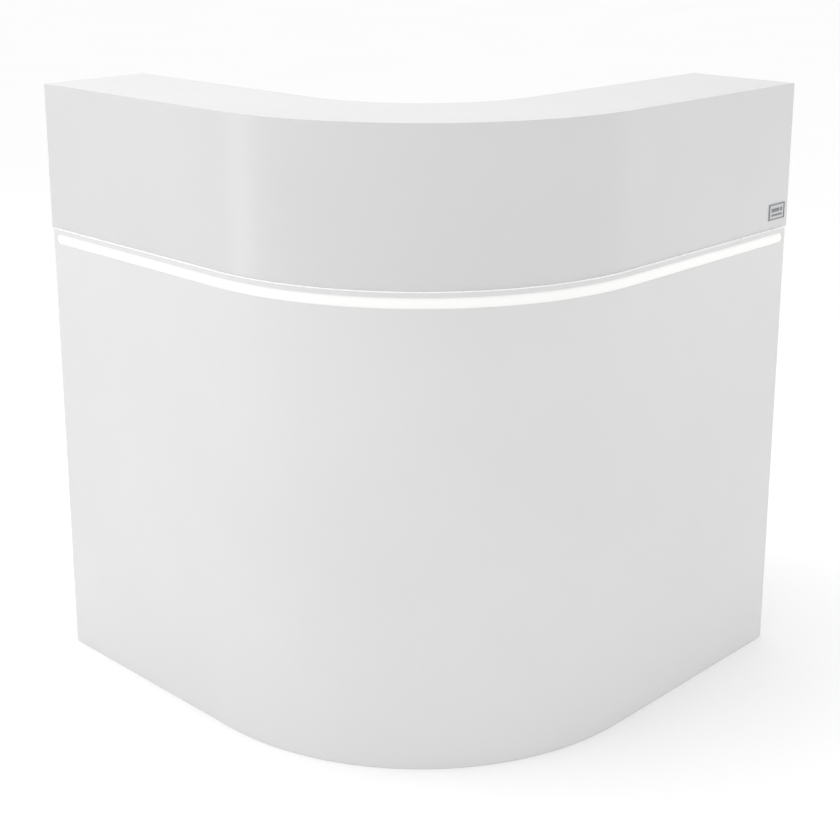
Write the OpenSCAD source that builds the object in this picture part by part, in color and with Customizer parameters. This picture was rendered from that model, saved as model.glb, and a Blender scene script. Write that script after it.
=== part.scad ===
// Curved corner checkout counter: a quarter-round corner with a short straight wing on each side.
// The customer side has a raised ledge with a deep fascia and a line of light below it. The staff
// side has a worktop, two drawers over an open bag bay, a cupboard and a corner nook.
// +Z is up, the corner's middle faces -Y, and the origin is on the floor under the counter's middle.
//
// The pieces are drawn in a square layout, with the right wing along +X and the left wing along +Y
// from the arc's centre, and placed() turns that layout by 45 degrees. Names that end in _in are
// depths, measured inwards from the fascia's outer face.

/* [Counter] */
// Height of the customer ledge above the floor
counter_h = 1140; // [1130:2:1160]
// Radius of the corner at the fascia's outer face
corner_r = 500; // [496:1:520]
// Length of each straight wing, from the arc to the ledge's end
wing_len = 500; // [490:1:520]
// How far the ledge overhangs the lower body at each wing's end
end_inset = 13; // [11:1:16]

/* [Ledge] */
// Depth of the customer ledge
ledge_d = 228; // [220:2:240]
// Thickness of the ledge board and the fascia
ledge_t = 20; // [18:1:20]
// Height of the fascia, down from the ledge's top face
fascia_h = 276; // [270:1:280]

/* [Lower body] */
// Thickness of the curved front panel
panel_t = 25; // [24:1:27]
// How far the front panel stands proud of the fascia
panel_proud = 5; // [4:1:6]
// Thickness of the carcass boards
board_t = 18; // [16:1:19]
// Depth of the carcass behind the fascia's outer face
carcass_in = 430; // [420:2:432]
// Distance from the arc to the inner side of each cabinet bay
bay_start = 100; // [96:1:110]
// Height of the cabinet floor
base_top = 80; // [76:1:90]
// Setback of the kick board behind the carcass's front edge
kick_setback = 50; // [40:5:60]
// Thickness of the floor glides
glide_t = 3; // [3:1:5]

/* [Worktop] */
// Height of the staff worktop above the floor
worktop_h = 760; // [758:1:764]
// Thickness of the worktop
worktop_t = 25; // [22:1:27]
// How far the worktop reaches past the carcass's front edge
worktop_lip = 30; // [26:1:34]

/* [Light line] */
// Height of the opal diffuser
led_h = 19.5; // [18:0.5:22]
// Distance from the fascia's lower edge down to the diffuser
led_drop = 8; // [7:0.5:11]
// Distance from the diffuser's round end to the front panel's end
led_end_gap = 9; // [8:1:14]

/* [Drawers and door] */
// Thickness of the drawer fronts and the door
front_t = 18; // [16:1:18]
// Gap between neighbouring fronts
front_gap = 3; // [2:0.5:4]
// Height of each drawer front
drawer_front_h = 181; // [176:1:184]
// Height of the drawer boxes
drawer_box_h = 120; // [110:1:124]
// Thickness of the drawer boxes' boards
drawer_board_t = 12; // [10:1:13]
// Thickness of the drawer bottoms
drawer_bottom_t = 6; // [4:1:8]
// Side clearance that each drawer runner fills
runner_w = 12.7; // [12.5:0.1:13]
// Distance between a handle's two posts
handle_span = 160; // [128:32:192]

/* [Hidden] */
$fn = 96;

laminate_white = [0.93, 0.93, 0.94];
board_white = [0.88, 0.88, 0.87];
opal_white = [1, 0.99, 0.94];
steel_grey = [0.72, 0.73, 0.75];
dark_plastic = [0.12, 0.12, 0.13];
lead_grey = [0.55, 0.55, 0.57];

// Glue line left between boards that meet on a curve or a mitre
glue = 0.1;
// Small overlap that makes a cut break cleanly through a face
cut = 1;

body_len = wing_len - end_inset;
fascia_bottom = counter_h - fascia_h;
panel_in = panel_t - panel_proud;
worktop_in = carcass_in + worktop_lip;
worktop_bottom = worktop_h - worktop_t;
base_bottom = base_top - board_t;
bay_inner = bay_start + board_t;
bay_outer = body_len - board_t;
bay_middle = (bay_inner + bay_outer) / 2;
back_extent = (body_len - (corner_r - worktop_in)) / sqrt(2);
middle_shift = (corner_r + panel_proud - back_extent) / 2;

// Ledge structure
rear_rail_h = 60;
ledge_under = counter_h - ledge_t;
rear_rail_in = ledge_d - board_t;
end_cover_t = end_inset - 1;
batten_h = 80;
batten_bottom = fascia_bottom - batten_h / 2;
middle_upright_angle = 225;

// Boards and hardware of the lower body
corner_shelf_top = 340;
corner_shelf_setback = 30;
cupboard_shelf_bottom = 400;
shelf_pin_r = 2.5;
shelf_pin_reach = 7;
shelf_pin_grip = 8;
shelf_pin_depths = [70, 370];
glide_r = 8;
front_glide_angles = [200, 225, 250];
wing_glide_places = [40, 250];
sleeve_r = 6;
sleeve_bore_r = 4.25;
// Depth and height of each joining sleeve
sleeve_places = [[70, 160], [70, 650], [340, 160], [340, 650]];
bracket_leg = 30;
bracket_w = 24;
bracket_t = 2;
bracket_hole_r = 2.2;
bracket_hole_at = bracket_leg / 2 + 2;
// Near side's depth, and the height of the board above, of each bracket in a row
bracket_spots = [[110, ledge_under], [150, worktop_bottom], [360, worktop_bottom]];
screw_head_r = 3.8;
screw_head_h = 2;
screw_shank_r = 1.75;
screw_reach = 12;
plate_w = 54;
plate_h = 31;
plate_t = 1.2;
plate_margin = 12;
plate_rise = 19;

// Light line
led_centre = fascia_bottom - led_drop - led_h / 2;
led_end = body_len - led_end_gap - led_h / 2;
diffuser_t = 3;
channel_h = 17;
channel_d = 11;
channel_wall = 1.5;
channel_back_in = diffuser_t - panel_proud + channel_d;
slot_clearance = 0.2;
tape_w = 10;
tape_t = 1;

// Fronts
front_back_in = carcass_in + 2;
front_face_in = front_back_in + front_t;
front_start = bay_start + 2;
front_end = body_len - 2;
fronts_top = worktop_bottom - front_gap;
fronts_bottom = base_bottom + front_gap;
upper_front_bottom = fronts_top - drawer_front_h;
lower_front_bottom = upper_front_bottom - front_gap - drawer_front_h;
bay_shelf_top = lower_front_bottom - 9;
drawer_back_in = front_back_in - 350;
box_rise = 22;
bottom_rise = 8;
box_left = bay_inner + runner_w;
box_right = bay_outer - runner_w;

// Handles
handle_bar_r = 5;
handle_post_r = 4;
handle_reach = 32;
handle_overrun = 14;
// Place of the door's handle: along the wing from its lock, and height
door_handle_aside = 8;
door_handle_z = 500;

// Runners, as heights and wall thickness of the three nested channels
runner_wall = 1.2;
runner_rise = 46;
outer_h = 46;
mid_h = 40;
inner_h = 32;

// Locks
lock_flange_r = 11;
lock_case_r = 9.5;
lock_barrel_r = 7;
lock_clearance = 0.05;
lock_case_back_in = front_back_in - 4;
lock_flange_t = 2;
lock_barrel_proud = 2.5;
keyway_size = [1.6, 8];
keyway_d = 6;
cam_t = 2;
cam_half_w = 5;
cam_reach = 20;
strike_gap = 1;
strike_t = 2;
strike_foot = [8, 5];
strike_foot_drop = 22;
cam_back_in = lock_case_back_in - 0.5 - cam_t;
drawer_lock_z = fronts_top - 21;
door_lock_x = bay_inner + 22;
door_lock_z = 640;

// Door hinges
hinge_x = body_len + 2.5;
hinge_in = front_face_in - 3;
knuckle_r = 4;
hinge_pin_r = 2;
hinge_pin_clearance = 0.05;
hinge_h = 60;
hinge_leaf_t = 1.5;
knuckle_gap = 0.3;
door_leaf_w = 28;
frame_leaf_w = 36;
hinge_heights = [170, 630];

// Electrical parts on the corner side of the drawer bay's inner board
lead_x = bay_start - 16;
lead_in = 46;
lead_r = 3;
lead_bend_r = 12;
driver_size = [30, 44, 160];
driver_bottom = 530;
power_box_size = [40, 50, 110];
power_box_bottom = 390;
sheet_t = 1.2;
inlet_z = power_box_bottom + 32;
switch_z = power_box_bottom + 80;
power_face_x = bay_start - power_box_size[0];
power_box_in = 21;
power_centre_in = power_box_in + power_box_size[1] / 2;
// Faces of the inlet and the switch, as widths across the power box and heights
inlet_hole = [28, 21];
inlet_flange = [34, 26];
inlet_recess = [24, 16];
inlet_d = 22;
inlet_recess_d = 17;
flange_t = 2;
inlet_pin = [2, 3];
inlet_pin_places = [[-7, -1], [0, 1], [7, -1]];
rocker_size = [13, 19];
rocker_face = [rocker_size[1], rocker_size[0]];
switch_hole = [rocker_face[0] + 3, rocker_face[1] + 3];
switch_flange = [rocker_face[0] + 8, rocker_face[1] + 8];
switch_d = 16;
switch_recess_d = 12;
rocker_gap = 0.3;
rocker_axis_x = power_face_x + 4;
rocker_tilt = 10;
rocker_pivot_r = 1.5;
rocker_pivot_reach = 0.9;
driver_near_in = lead_in - driver_size[1] / 2;
// Mounting ears above and below the driver
ear_t = 3;
ear_w = 24;
ear_h = 12;
lead_clip_h = 10;
lead_clip_wall = 2;
lead_clip_heights = [driver_bottom + driver_size[2] + 18, worktop_h + 30];

// Cable grommet in the worktop's corner
grommet_from_centre = 200;
grommet_hole_r = 30;
grommet_bore_r = 26;
grommet_clearance = 0.1;
grommet_lip_t = 2;
grommet_lip_w = 5;
grommet_seat_d = 3;
grommet_seat_w = 2;
cable_slot_from = 10;
cable_slot_w = 12;

// ---- placing and shared shapes ----

// Turns the square layout so that the corner's middle faces -Y, and centres it
module placed() translate([0, middle_shift, 0]) rotate([0, 0, 45]) children();

// Swaps the right wing's layout for the left wing's
module left_wing() mirror([1, -1, 0]) children();

module both_wings() {
    children();
    left_wing() children();
}

// Carries a profile, drawn as [depth inside the fascia's face, height], round the corner and
// along both wings, stopping short of the ledge's ends by trim
module along_front(trim = 0) {
    rotate([0, 0, 180])
        rotate_extrude(angle = 90)
            translate([corner_r, 0]) mirror([1, 0]) children();
    both_wings()
        translate([0, -corner_r, 0])
            rotate([90, 0, 90])
                linear_extrude(wing_len - trim) children();
}

// A plain rectangle for along_front
module strip(near_in, far_in, bottom, top)
    translate([near_in, bottom]) square([far_in - near_in, top - bottom]);

// A box on the right wing, from x0 to x1 along it and between two depths and two heights
module wing_box(x0, x1, near_in, far_in, bottom, top)
    translate([x0, near_in - corner_r, bottom])
        cube([x1 - x0, far_in - near_in, top - bottom]);

// A cylinder through the right wing's depth, from near_in to far_in
module wing_rod(x, z, near_in, far_in, r)
    translate([x, near_in - corner_r, z])
        rotate([-90, 0, 0]) cylinder(h = far_in - near_in, r = r);

// A cylinder along the right wing, from x0 to x1
module cross_rod(x0, x1, depth_in, z, r)
    translate([x0, depth_in - corner_r, z])
        rotate([0, 90, 0]) cylinder(h = x1 - x0, r = r);

// An upright cylinder at a place on the right wing
module upright_rod(x, depth_in, bottom, top, r)
    translate([x, depth_in - corner_r, bottom]) cylinder(h = top - bottom, r = r);

// ---- ledge and fascia ----

module ledge_top() color(laminate_white) placed()
    along_front()
        polygon([
            [0, counter_h], [ledge_d, counter_h],
            [ledge_d, ledge_under], [ledge_t, ledge_under]
        ]);

module fascia_panel() color(laminate_white) placed()
    along_front()
        polygon([
            [0, counter_h - glue], [ledge_t, ledge_under - glue],
            [ledge_t, fascia_bottom], [0, fascia_bottom]
        ]);

// Cover board that closes the ledge's end and overhangs the lower body
module ledge_end()
    wing_box(body_len, body_len + end_cover_t, ledge_t, ledge_d, fascia_bottom, ledge_under);

module right_ledge_end() color(laminate_white) placed() ledge_end();
module left_ledge_end() color(laminate_white) placed() left_wing() ledge_end();

module ledge_rear_rail() color(board_white) placed()
    along_front(end_inset)
        strip(rear_rail_in, ledge_d, ledge_under - rear_rail_h, ledge_under);

// Boards that carry the ledge off the worktop, grown by gap where they notch other pieces
module upright_boards(gap = 0) {
    both_wings()
        wing_box(bay_start - gap, bay_inner + gap, ledge_t, rear_rail_in, worktop_h, ledge_under);
    rotate([0, 0, middle_upright_angle])
        translate([corner_r - rear_rail_in + glue, -board_t / 2 - gap, worktop_h])
            cube([rear_rail_in - ledge_t - 6 * glue, board_t + 2 * gap, ledge_under - worktop_h - glue]);
}

module ledge_uprights() color(board_white) placed() upright_boards();

// Batten screwed behind the joint of the fascia and the front panel
module fixing_batten() color(board_white) placed()
    difference() {
        along_front(end_inset + board_t + 1)
            strip(panel_in + glue, panel_in + board_t, batten_bottom, batten_bottom + batten_h);
        upright_boards(1);
        rotate([0, 0, middle_upright_angle])
            translate([corner_r - panel_in - board_t - 5, -board_t / 2 - 1, batten_bottom - cut])
                cube([board_t + 10, board_t + 2, batten_h + 2 * cut]);
        wing_rod(lead_x, led_centre, panel_in - cut, panel_in + board_t + cut, lead_r + 1);
    }

// ---- lower body ----

// The recess for the diffuser, with round ends, and the narrower one for the channel behind it
module light_groove() {
    groove_mouth_in = -panel_proud - cut;
    seat_in = diffuser_t - panel_proud;
    along_front(wing_len - led_end)
        strip(groove_mouth_in, seat_in, led_centre - led_h / 2, led_centre + led_h / 2);
    both_wings()
        wing_rod(led_end, led_centre, groove_mouth_in, seat_in, led_h / 2);
    along_front(wing_len - led_end)
        strip(seat_in - cut, channel_back_in + slot_clearance,
            led_centre - channel_h / 2 - slot_clearance, led_centre + channel_h / 2 + slot_clearance);
}

module body_panel() color(laminate_white) placed()
    difference() {
        along_front(end_inset) strip(-panel_proud, panel_in, glide_t, fascia_bottom);
        light_groove();
        wing_rod(lead_x, led_centre, 0, panel_in + cut, lead_r + 1);
    }

// End board of a wing: full height behind the ledge, and worktop height in front of it
module end_panel() difference() {
    union() {
        wing_box(bay_outer, body_len, panel_in, carcass_in, glide_t, worktop_bottom);
        wing_box(bay_outer, body_len, panel_in, rear_rail_in, worktop_bottom - cut, ledge_under);
    }
    for (place = sleeve_places)
        cross_rod(bay_outer - cut, body_len + cut, place[0], place[1], sleeve_r);
}

module right_end_panel() color(laminate_white) placed() end_panel();
module left_end_panel() color(laminate_white) placed() left_wing() end_panel();

module joining_sleeves() color(steel_grey) placed()
    both_wings()
        for (place = sleeve_places)
            difference() {
                cross_rod(bay_outer, body_len, place[0], place[1], sleeve_r);
                cross_rod(bay_outer - cut, body_len + cut, place[0], place[1], sleeve_bore_r);
            }

module worktop() color(laminate_white) placed()
    difference() {
        along_front(end_inset)
            strip(panel_in + glue, worktop_in, worktop_bottom, worktop_h);
        both_wings()
            wing_box(bay_outer - slot_clearance, wing_len, 0, rear_rail_in + slot_clearance,
                worktop_bottom - cut, worktop_h + cut);
        rotate([0, 0, middle_upright_angle])
            translate([grommet_from_centre, 0, worktop_bottom - cut])
                cylinder(h = worktop_t + 2 * cut, r = grommet_hole_r);
        upright_rod(lead_x, lead_in, worktop_bottom - cut, worktop_h + cut, lead_r + 2);
    }

module bay_side()
    wing_box(bay_start, bay_inner, panel_in + glue, carcass_in, base_top, worktop_bottom);

module drawer_bay_side() color(board_white) placed() bay_side();
module cupboard_bay_side() color(board_white) placed() left_wing() bay_side();

module base_panel() color(board_white) placed()
    along_front(end_inset + board_t)
        strip(panel_in + glue, carcass_in, base_bottom, base_top);

module kick_board() color(laminate_white) placed()
    along_front(end_inset + board_t)
        strip(carcass_in - kick_setback, carcass_in - kick_setback + board_t, glide_t, base_bottom);

module corner_shelf() color(board_white) placed()
    along_front(wing_len - bay_start)
        strip(panel_in + glue, carcass_in - corner_shelf_setback,
            corner_shelf_top - board_t, corner_shelf_top);

module drawer_bay_shelf() color(board_white) placed()
    wing_box(bay_inner, bay_outer, panel_in, carcass_in, bay_shelf_top - board_t, bay_shelf_top);

module cupboard_shelf() color(board_white) placed() left_wing()
    wing_box(bay_inner + 1, bay_outer - 1, panel_in + 5, carcass_in - 10,
        cupboard_shelf_bottom, cupboard_shelf_bottom + board_t);

// Steel pins under the cupboard's shelf, pressed into the bay's sides
module shelf_pins() color(steel_grey) placed() left_wing()
    for (depth_in = shelf_pin_depths) {
        cross_rod(bay_inner - shelf_pin_grip, bay_inner + shelf_pin_reach, depth_in,
            cupboard_shelf_bottom - shelf_pin_r, shelf_pin_r);
        cross_rod(bay_outer - shelf_pin_reach, bay_outer + shelf_pin_grip, depth_in,
            cupboard_shelf_bottom - shelf_pin_r, shelf_pin_r);
    }

// Nylon glides under the end panels, the kick board and the curved front
module floor_glides() color(dark_plastic) placed() {
    both_wings() {
        for (depth_in = [60, carcass_in - 20])
            upright_rod(bay_outer + board_t / 2, depth_in, 0, glide_t, glide_r);
        for (x = wing_glide_places)
            upright_rod(x, panel_in - panel_t / 2, 0, glide_t, glide_r);
        upright_rod(wing_glide_places[1], carcass_in - kick_setback + board_t / 2, 0, glide_t, glide_r);
    }
    for (angle = front_glide_angles)
        rotate([0, 0, angle])
            translate([corner_r - panel_in + panel_t / 2, 0, 0]) cylinder(h = glide_t, r = glide_r);
}

// ---- brackets and plate ----

// Steel angle under a board at height top, against the face of an upright board at x
module angle_bracket(x, depth_in, top) difference() {
    union() {
        wing_box(x, x + bracket_leg, depth_in, depth_in + bracket_w, top - bracket_t, top);
        wing_box(x, x + bracket_t, depth_in, depth_in + bracket_w, top - bracket_leg, top);
    }
    upright_rod(x + bracket_hole_at, depth_in + bracket_w / 2, top - bracket_leg, top + cut, bracket_hole_r);
    cross_rod(x - cut, x + bracket_leg, depth_in + bracket_w / 2, top - bracket_hole_at, bracket_hole_r);
}

// The two screws of an angle bracket, each with a round head and a shank in the board
module angle_bracket_screws(x, depth_in, top) {
    screw_in = depth_in + bracket_w / 2;
    upright_rod(x + bracket_hole_at, screw_in, top - bracket_t - screw_head_h, top - bracket_t, screw_head_r);
    upright_rod(x + bracket_hole_at, screw_in, top - bracket_t - cut, top + screw_reach, screw_shank_r);
    cross_rod(x + bracket_t, x + bracket_t + screw_head_h, screw_in, top - bracket_hole_at, screw_head_r);
    cross_rod(x - screw_reach, x + bracket_t + cut, screw_in, top - bracket_hole_at, screw_shank_r);
}

// Where the angles stand: under the ledge and the worktop, at both sides of each bay
module bracket_places() {
    both_wings()
        for (spot = bracket_spots) {
            $bracket_in = spot[0];
            $bracket_top = spot[1];
            children();
            translate([bay_inner + bay_outer, 0, 0]) mirror([1, 0, 0]) children();
        }
}

module angle_brackets() color(steel_grey) placed()
    bracket_places() angle_bracket(bay_inner, $bracket_in, $bracket_top);

module bracket_screws() color(steel_grey) placed()
    bracket_places() angle_bracket_screws(bay_inner, $bracket_in, $bracket_top);

// Plain plate near the end of the right wing's fascia
module name_plate() color(steel_grey) placed()
    wing_box(wing_len - plate_margin - plate_w, wing_len - plate_margin, -plate_t, 0,
        fascia_bottom + plate_rise, fascia_bottom + plate_rise + plate_h);

// ---- light line ----

module led_channel() color(steel_grey) placed()
    difference() {
        along_front(wing_len - led_end + 1)
            polygon([
                [diffuser_t - panel_proud + glue, led_centre - channel_h / 2],
                [channel_back_in, led_centre - channel_h / 2],
                [channel_back_in, led_centre + channel_h / 2],
                [diffuser_t - panel_proud + glue, led_centre + channel_h / 2],
                [diffuser_t - panel_proud + glue, led_centre + channel_h / 2 - channel_wall],
                [channel_back_in - channel_wall, led_centre + channel_h / 2 - channel_wall],
                [channel_back_in - channel_wall, led_centre - channel_h / 2 + channel_wall],
                [diffuser_t - panel_proud + glue, led_centre - channel_h / 2 + channel_wall]
            ]);
        wing_rod(lead_x, led_centre, channel_back_in - channel_wall - cut, channel_back_in + cut, lead_r + 1);
    }

module led_tape() color(opal_white) placed()
    along_front(wing_len - led_end + 6)
        strip(channel_back_in - channel_wall - glue - tape_t, channel_back_in - channel_wall - glue,
            led_centre - tape_w / 2, led_centre + tape_w / 2);

module led_diffuser() color(opal_white) placed() {
    diffuser_h = led_h - 2 * slot_clearance;
    along_front(wing_len - led_end)
        strip(-panel_proud + slot_clearance, diffuser_t - panel_proud,
            led_centre - diffuser_h / 2, led_centre + diffuser_h / 2);
    both_wings()
        wing_rod(led_end, led_centre, -panel_proud + slot_clearance, diffuser_t - panel_proud,
            diffuser_h / 2);
}

module led_driver() color(dark_plastic) placed() {
    wing_box(bay_start - driver_size[0], bay_start, driver_near_in, driver_near_in + driver_size[1],
        driver_bottom, driver_bottom + driver_size[2]);
    wing_box(bay_start - ear_t, bay_start, lead_in - ear_w / 2, lead_in + ear_w / 2,
        driver_bottom - ear_h, driver_bottom + driver_size[2] + ear_h);
}

// Low-voltage lead from the driver up through the worktop and into the back of the channel
module led_lead() color(lead_grey) placed() {
    bend_z = led_centre - lead_bend_r;
    bend_in = lead_in - lead_bend_r;
    upright_rod(lead_x, lead_in, driver_bottom + driver_size[2], bend_z, lead_r);
    translate([lead_x, bend_in - corner_r, bend_z])
        rotate([90, 0, 90])
            rotate_extrude(angle = 90) translate([lead_bend_r, 0]) circle(r = lead_r);
    wing_rod(lead_x, led_centre, channel_back_in - 1, bend_in, lead_r);
}

// Mains lead from the power box up to the driver
module supply_lead() color(lead_grey) placed()
    upright_rod(lead_x, lead_in, power_box_bottom + power_box_size[2], driver_bottom, lead_r + 0.5);

module lead_clip(z)
    difference() {
        wing_box(lead_x - lead_r - lead_clip_wall, bay_start, lead_in - lead_r - lead_clip_wall,
            lead_in + lead_r + lead_clip_wall, z, z + lead_clip_h);
        upright_rod(lead_x, lead_in, z - cut, z + lead_clip_h + cut, lead_r + glue);
    }

module lead_clips() color(dark_plastic) placed()
    for (z = lead_clip_heights) lead_clip(z);

// ---- power box, inlet and switch ----

// A box in the power box's face, from near to far behind it, with a [width, height] shrunk by gap
module face_box(near, far, size, z, gap = 0, aside = 0)
    wing_box(power_face_x + near, power_face_x + far,
        power_centre_in + aside - size[0] / 2 + gap, power_centre_in + aside + size[0] / 2 - gap,
        z - size[1] / 2 + gap, z + size[1] / 2 - gap);

module power_box() color(steel_grey) placed()
    difference() {
        wing_box(power_face_x, bay_start, power_box_in, power_box_in + power_box_size[1],
            power_box_bottom, power_box_bottom + power_box_size[2]);
        wing_box(power_face_x + sheet_t, bay_start + cut,
            power_box_in + sheet_t, power_box_in + power_box_size[1] - sheet_t,
            power_box_bottom + sheet_t, power_box_bottom + power_box_size[2] - sheet_t);
        face_box(-cut, 2 * sheet_t, inlet_hole, inlet_z);
        face_box(-cut, 2 * sheet_t, switch_hole, switch_z);
        upright_rod(lead_x, lead_in, power_box_bottom + power_box_size[2] - 2 * sheet_t,
            power_box_bottom + power_box_size[2] + cut, lead_r + 1);
    }

// Appliance inlet with three flat pins in its recess
module power_inlet() color(dark_plastic) placed() {
    difference() {
        union() {
            face_box(-flange_t, 0, inlet_flange, inlet_z);
            face_box(-cut, inlet_d, inlet_hole, inlet_z, slot_clearance);
        }
        face_box(-flange_t - cut, inlet_recess_d, inlet_recess, inlet_z);
    }
    for (place = inlet_pin_places)
        face_box(flange_t, inlet_recess_d + cut, inlet_pin, inlet_z + place[1], 0, place[0]);
}

module switch_frame() color(dark_plastic) placed()
    difference() {
        union() {
            face_box(-flange_t, 0, switch_flange, switch_z);
            face_box(-cut, switch_d, switch_hole, switch_z, slot_clearance);
        }
        face_box(-flange_t - cut, switch_recess_d, rocker_face, switch_z);
        rocker_pivots(rocker_size[0] / 2 + 1, rocker_pivot_r + lock_clearance);
    }

// The round pivots at both ends of the rocker's axis, out to reach on each side of its middle
module rocker_pivots(reach, r)
    upright_rod(rocker_axis_x, power_centre_in, switch_z - reach, switch_z + reach, r);

// Rocker with a shallow V face and a pivot at each end, resting on its off side
module switch_rocker() color(dark_plastic) placed() {
    translate([rocker_axis_x, power_centre_in - corner_r, switch_z - rocker_size[0] / 2 + rocker_gap])
        rotate([0, 0, rocker_tilt])
            linear_extrude(rocker_size[0] - 2 * rocker_gap)
                polygon([
                    [-6, -rocker_size[1] / 2 + 1], [-4.2, 0], [-6, rocker_size[1] / 2 - 1],
                    [0, rocker_size[1] / 2 - 1.4], [3, 2], [3, -2], [0, -rocker_size[1] / 2 + 1.4]
                ]);
    rocker_pivots(rocker_size[0] / 2 + rocker_pivot_reach, rocker_pivot_r);
}

// ---- cable grommet ----

module at_grommet()
    rotate([0, 0, middle_upright_angle]) translate([grommet_from_centre, 0, worktop_h]) children();

module grommet_ring() color(steel_grey) placed() at_grommet()
    difference() {
        union() {
            translate([0, 0, -worktop_t + grommet_lip_t])
                cylinder(h = worktop_t, r = grommet_hole_r - glue);
            cylinder(h = grommet_lip_t, r = grommet_hole_r + grommet_lip_w);
        }
        translate([0, 0, -grommet_seat_d]) cylinder(h = 2 * grommet_seat_d, r = grommet_bore_r);
        translate([0, 0, -worktop_t])
            cylinder(h = worktop_t + grommet_seat_d, r = grommet_bore_r - grommet_seat_w);
    }

// Cap that turns in the ring to open or close its cable slot
module grommet_cap() color(steel_grey) placed() at_grommet()
    difference() {
        translate([0, 0, -grommet_seat_d + glue])
            cylinder(h = grommet_seat_d + grommet_lip_t - glue, r = grommet_bore_r - grommet_clearance);
        translate([cable_slot_from, -cable_slot_w / 2, -grommet_seat_d - cut])
            cube([grommet_bore_r, cable_slot_w, grommet_seat_d + grommet_lip_t + 2 * cut]);
    }

// ---- fronts, handles and locks ----

// Handle across posts that stand on a front's face; upright turns it to stand vertically
module bar_handle(x, z, upright = false)
    translate([x, front_face_in - corner_r, z])
        rotate([0, upright ? 90 : 0, 0]) {
            bar_len = handle_span + 2 * handle_overrun;
            translate([-bar_len / 2, handle_reach, 0])
                rotate([0, 90, 0]) cylinder(h = bar_len, r = handle_bar_r);
            for (side = [-1, 1])
                translate([side * handle_span / 2, 0, 0])
                    rotate([-90, 0, 0]) cylinder(h = handle_reach, r = handle_post_r);
        }

module front_board(bottom, top, lock_x, lock_z)
    difference() {
        wing_box(front_start, front_end, front_back_in, front_face_in, bottom, top);
        wing_rod(lock_x, lock_z, front_back_in - cut, front_face_in + cut, lock_case_r);
    }

module lock_case(x, z)
    difference() {
        union() {
            wing_rod(x, z, lock_case_back_in, front_face_in, lock_case_r);
            wing_rod(x, z, front_face_in, front_face_in + lock_flange_t, lock_flange_r);
        }
        wing_rod(x, z, lock_case_back_in - cut, front_face_in + lock_flange_t + cut,
            lock_barrel_r + lock_clearance);
    }

// Barrel with a keyway, its tail and the cam on the tail, pointing at cam_angle
module lock_barrel(x, z, cam_angle)
    translate([x, 0, z]) rotate([0, cam_angle, 0]) translate([-x, 0, -z])
        difference() {
            union() {
                wing_rod(x, z, cam_back_in - 1, front_face_in + lock_barrel_proud, lock_barrel_r);
                wing_box(x - cam_half_w, x + cam_reach, cam_back_in, cam_back_in + cam_t,
                    z - cam_half_w, z + cam_half_w);
            }
            wing_box(x - keyway_size[0] / 2, x + keyway_size[0] / 2,
                front_face_in - keyway_d, front_face_in + keyway_d,
                z - keyway_size[1] / 2, z + keyway_size[1] / 2);
        }

// Plates that the two cams turn behind: one hangs from the worktop, the other stands on a foot
// fixed to the cupboard's inner side, below the cam's sweep
module lock_strikes() color(steel_grey) placed() {
    strike_in = cam_back_in + cam_t + strike_gap;
    foot_bottom = door_lock_z - strike_foot_drop - strike_foot[1];
    wing_box(bay_middle - 15, bay_middle + 15, strike_in, strike_in + strike_t,
        drawer_lock_z + 11, worktop_bottom);
    left_wing() {
        wing_box(bay_inner, bay_inner + strike_foot[0], strike_in - 20, strike_in + strike_t,
            foot_bottom, foot_bottom + strike_foot[1]);
        wing_box(bay_inner, bay_inner + strike_foot[0], strike_in, strike_in + strike_t,
            foot_bottom, door_lock_z + 12);
    }
}

// ---- drawers ----

// The three nested members of one runner, as channel profiles [width from the bay's side, height]
module channel_profile(near, far, height, opens_far) {
    web = opens_far ? near : far - runner_wall;
    translate([web, -height / 2]) square([runner_wall, height]);
    for (bottom = [-height / 2, height / 2 - runner_wall])
        translate([near, bottom]) square([far - near, runner_wall]);
}

module runner_member(near, far, height, opens_far, z, start_in, end_in) {
    wing_runner(z, start_in, end_in) channel_profile(near, far, height, opens_far);
    // The same member on the bay's other side
    translate([bay_inner + bay_outer, 0, 0]) mirror([1, 0, 0])
        wing_runner(z, start_in, end_in) channel_profile(near, far, height, opens_far);
}

module wing_runner(z, start_in, end_in)
    translate([bay_inner, end_in - corner_r, z])
        rotate([90, 0, 0]) linear_extrude(end_in - start_in) children();

module runner_outer_pair(front_bottom)
    runner_member(0, 9, outer_h, true, front_bottom + runner_rise, drawer_back_in, carcass_in - 2);

module runner_mid_pair(front_bottom)
    runner_member(3, 11, mid_h, true, front_bottom + runner_rise, drawer_back_in, carcass_in - 2);

module runner_inner_pair(front_bottom)
    runner_member(6, runner_w, inner_h, false, front_bottom + runner_rise, drawer_back_in, front_back_in);

module runner_outers() color(steel_grey) placed() {
    runner_outer_pair(upper_front_bottom);
    runner_outer_pair(lower_front_bottom);
}

// Two sides with a front and a back board between them
module drawer_box(front_bottom) {
    bottom = front_bottom + box_rise;
    top = bottom + drawer_box_h;
    for (x = [box_left, box_right - drawer_board_t])
        wing_box(x, x + drawer_board_t, drawer_back_in, front_back_in, bottom, top);
    for (near_in = [drawer_back_in, front_back_in - drawer_board_t])
        wing_box(box_left + drawer_board_t + glue, box_right - drawer_board_t - glue,
            near_in, near_in + drawer_board_t, bottom, top);
}

module drawer_bottom(front_bottom) {
    bottom = front_bottom + box_rise + bottom_rise;
    wing_box(box_left + drawer_board_t, box_right - drawer_board_t,
        drawer_back_in + drawer_board_t, front_back_in - drawer_board_t,
        bottom, bottom + drawer_bottom_t);
}

module upper_drawer_front() color(laminate_white) placed()
    front_board(upper_front_bottom, fronts_top, bay_middle, drawer_lock_z);

module lower_drawer_front() color(laminate_white) placed()
    wing_box(front_start, front_end, front_back_in, front_face_in,
        lower_front_bottom, upper_front_bottom - front_gap);

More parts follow.
